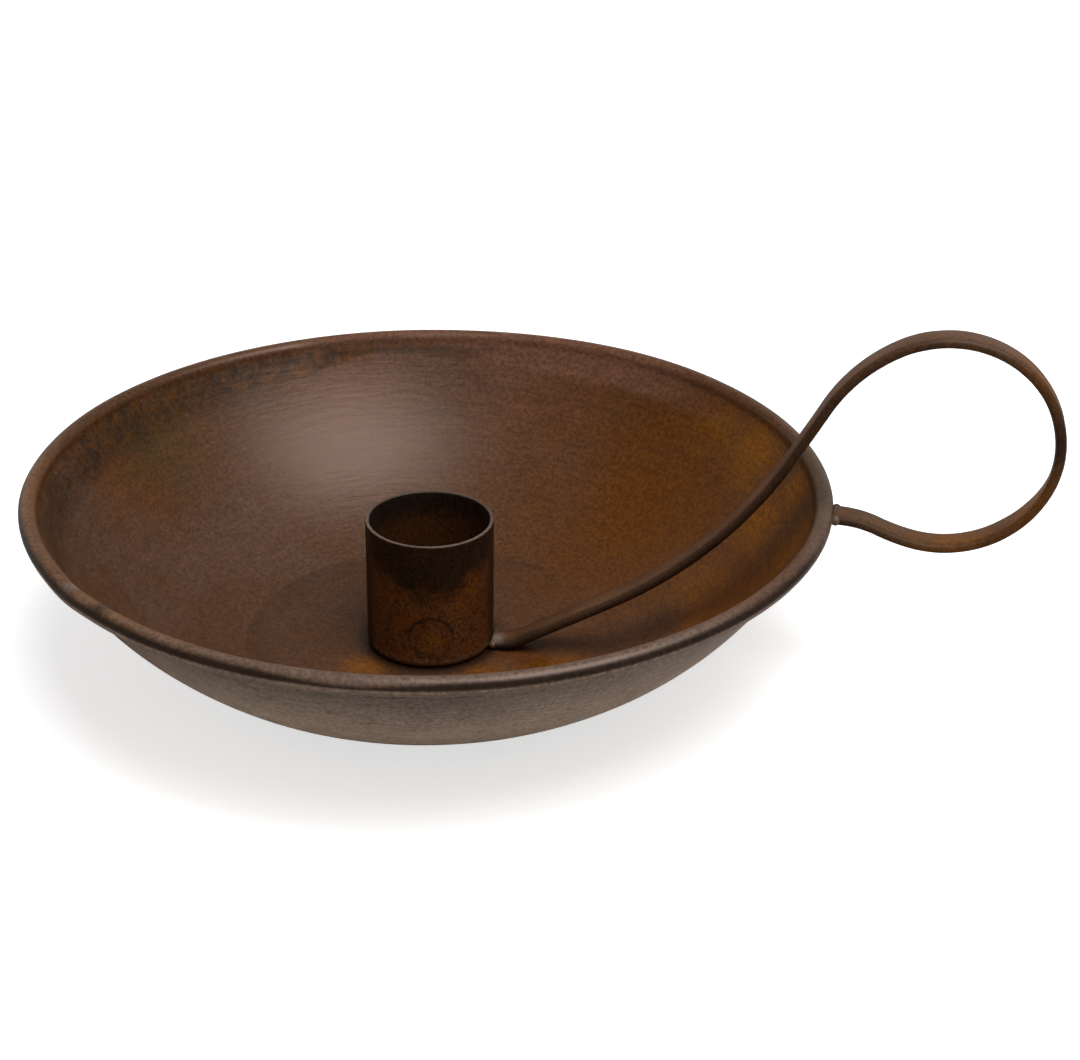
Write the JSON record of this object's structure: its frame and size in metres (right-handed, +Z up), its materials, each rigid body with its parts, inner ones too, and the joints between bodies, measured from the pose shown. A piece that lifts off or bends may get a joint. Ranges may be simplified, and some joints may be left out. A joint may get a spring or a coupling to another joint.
{
  "type": "candle holder",
  "caption": "Round pan chamberstick with a rolled rim, a welded candle cup in the middle and a bent strip handle with a finger loop.",
  "frame": {"origin": "centre of the pan's flat underside", "axes": "+Z up along the axis of the pan and the cup, +X along the handle, out over the rim"},
  "size_m": [0.1926, 0.1524, 0.0718],
  "materials": {
    "pan_steel": "spun sheet steel, browned all over, with orange rust bloom and a soft worn sheen",
    "bare_wire": "drawn wire, dull",
    "cup_steel": "drawn sheet steel, nearly black with soot, rust patches lower down",
    "handle_steel": "flattened rod, browned, with mustard rust on the loop",
    "weld_metal": "small weld beads, dull and browned"
  },
  "bodies": {
    "root": {"pan": "pan_steel", "rim_wire": "bare_wire", "candle_cup": "cup_steel", "cup_spot_welds": "weld_metal", "handle": "handle_steel", "handle_foot_weld": "weld_metal", "handle_rim_weld": "weld_metal"}
  },
  "joints": []
}
